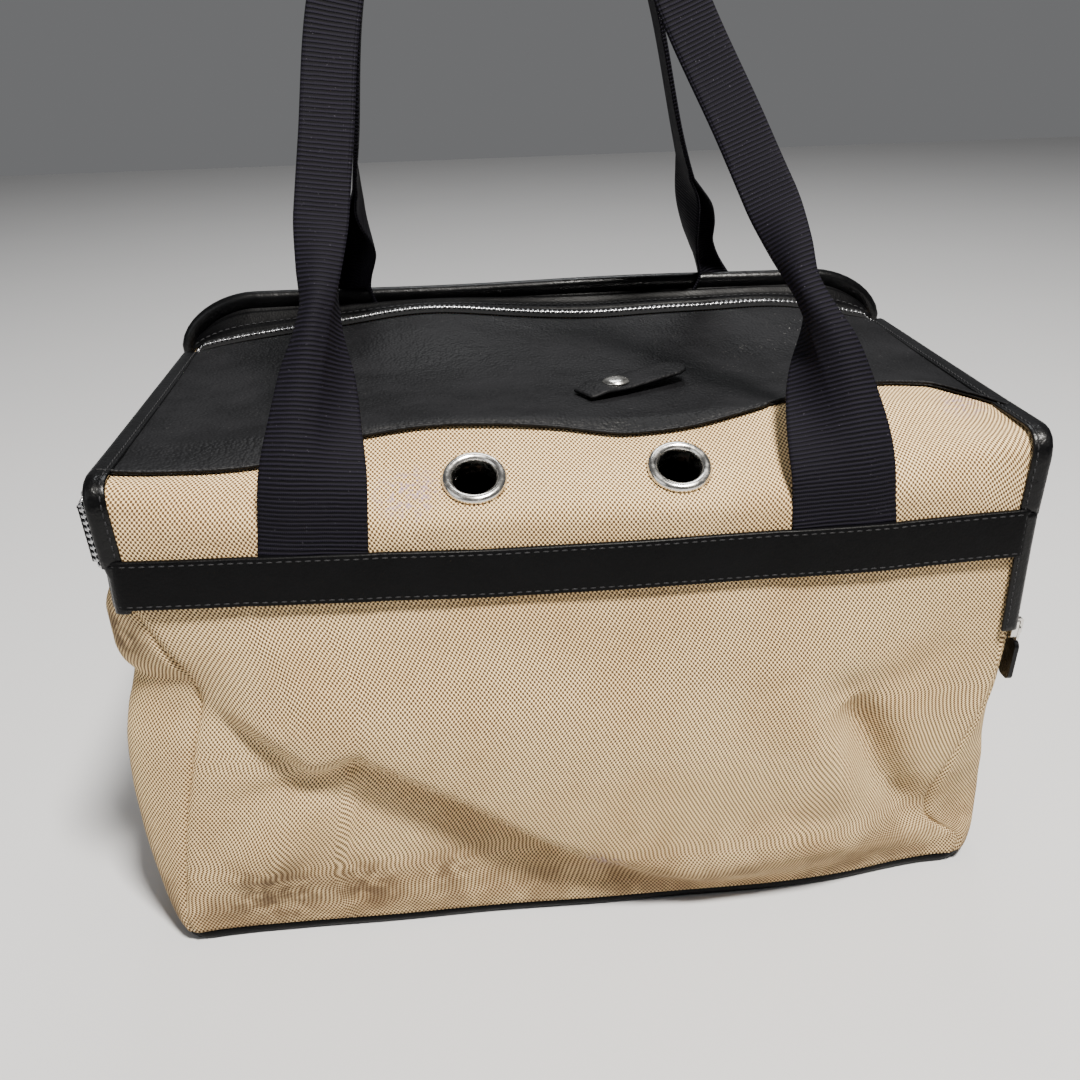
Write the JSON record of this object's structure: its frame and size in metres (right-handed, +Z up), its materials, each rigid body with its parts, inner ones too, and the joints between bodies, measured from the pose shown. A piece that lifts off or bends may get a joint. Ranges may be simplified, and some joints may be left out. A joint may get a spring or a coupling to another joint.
{
  "type": "pet carrier bag",
  "caption": "Soft canvas and leather pet carrier tote with a zipped hinged lid, air-hole eyelets, a stiff cushioned base and webbing shoulder handles.",
  "frame": {"origin": "centre of the base panel's underside, which stands on the floor", "axes": "+Z up, +X to the right seen from the front, the front faces -Y"},
  "size_m": [0.4416, 0.2562, 0.5322],
  "materials": {
    "canvas": "undyed heavy cotton canvas, plain weave, slightly soiled",
    "leather": "pebbled black leather, semi matte",
    "edging": "smooth black leather, glossier, rolled or folded over edges",
    "webbing": "dark navy black ribbed cotton webbing",
    "zip_tape": "black woven zip tape",
    "zip_teeth": "polished silver coloured metal teeth",
    "nickel": "polished nickel plate",
    "lining": "dark brown woven lining",
    "cushion": "brown padded cotton cover",
    "board": "stiff fibre board"
  },
  "bodies": {
    "root": {"front_panel": "canvas", "back_panel": "canvas", "end_panel_left": "canvas", "end_panel_right": "canvas", "base_panel": "leather", "band_front": "leather", "band_back": "leather", "back_rim_strip": "leather", "zip_start_tab": "leather", "back_rim_roll": "edging", "zip_tail": "edging", "strap_end_front_left": "webbing", "strap_end_front_right": "webbing", "strap_end_back_left": "webbing", "strap_end_back_right": "webbing", "zip_tape_body_left": "zip_tape", "zip_tape_body_right": "zip_tape", "zip_tape_body_back": "zip_tape", "zip_teeth_body_left": "zip_teeth", "zip_teeth_body_right": "zip_teeth", "zip_teeth_body_back": "zip_teeth", "lining": "lining", "base_cushion": "cushion", "base_board": "board"},
    "lid": {"lid_canvas": "canvas", "lid_leather": "leather", "lid_lining": "lining", "lid_edge_left": "edging", "lid_edge_right": "edging", "zip_tape_lid_left": "zip_tape", "zip_tape_lid_right": "zip_tape", "zip_tape_lid_back": "zip_tape", "zip_teeth_lid_left": "zip_teeth", "zip_teeth_lid_right": "zip_teeth", "zip_teeth_lid_back": "zip_teeth", "eyelet_left": "nickel", "eyelet_right": "nickel", "eyelet_washer_left": "nickel", "eyelet_washer_right": "nickel"},
    "front_handle": {"handle_front": "webbing"},
    "back_handle": {"handle_back": "webbing"},
    "lid_tab": {"snap_tab": "leather", "snap_cap": "nickel", "snap_socket": "nickel"},
    "slider": {"zip_slider": "nickel"},
    "pull": {"pull_ring": "nickel", "pull_tab": "leather"}
  },
  "joints": [
    {"name": "lid_open", "type": "hinge", "parent": "root", "child": "lid", "pos_m": [0, -0.125, 0.2113], "axis": [1, 0, 0], "range_deg": [0, 105]},
    {"name": "front_handle_swing", "type": "hinge", "parent": "root", "child": "front_handle", "pos_m": [0, -0.126, 0.211], "axis": [1, 0, 0], "range_deg": [0, 145]},
    {"name": "back_handle_swing", "type": "hinge", "parent": "root", "child": "back_handle", "pos_m": [0, 0.126, 0.211], "axis": [-1, 0, 0], "range_deg": [0, 145]},
    {"name": "tab_lift", "type": "hinge", "parent": "lid", "child": "lid_tab", "pos_m": [0.01, -0.042, 0.2555], "axis": [0.454, -0.891, 0], "range_deg": [0, 115]},
    {"name": "slider_run", "type": "slide", "parent": "root", "child": "slider", "axis": [0.0656, 0, 0.9978], "range_m": [0, 0.08]},
    {"name": "pull_swing", "type": "hinge", "parent": "slider", "child": "pull", "pos_m": [0.21316, -0.116, 0.14993], "axis": [0, -1, 0], "range_deg": [0, 150]}
  ],
  "couplings": [
    {"joint": "front_handle_swing", "follows": "lid_open", "ratio": 1.38}
  ]
}
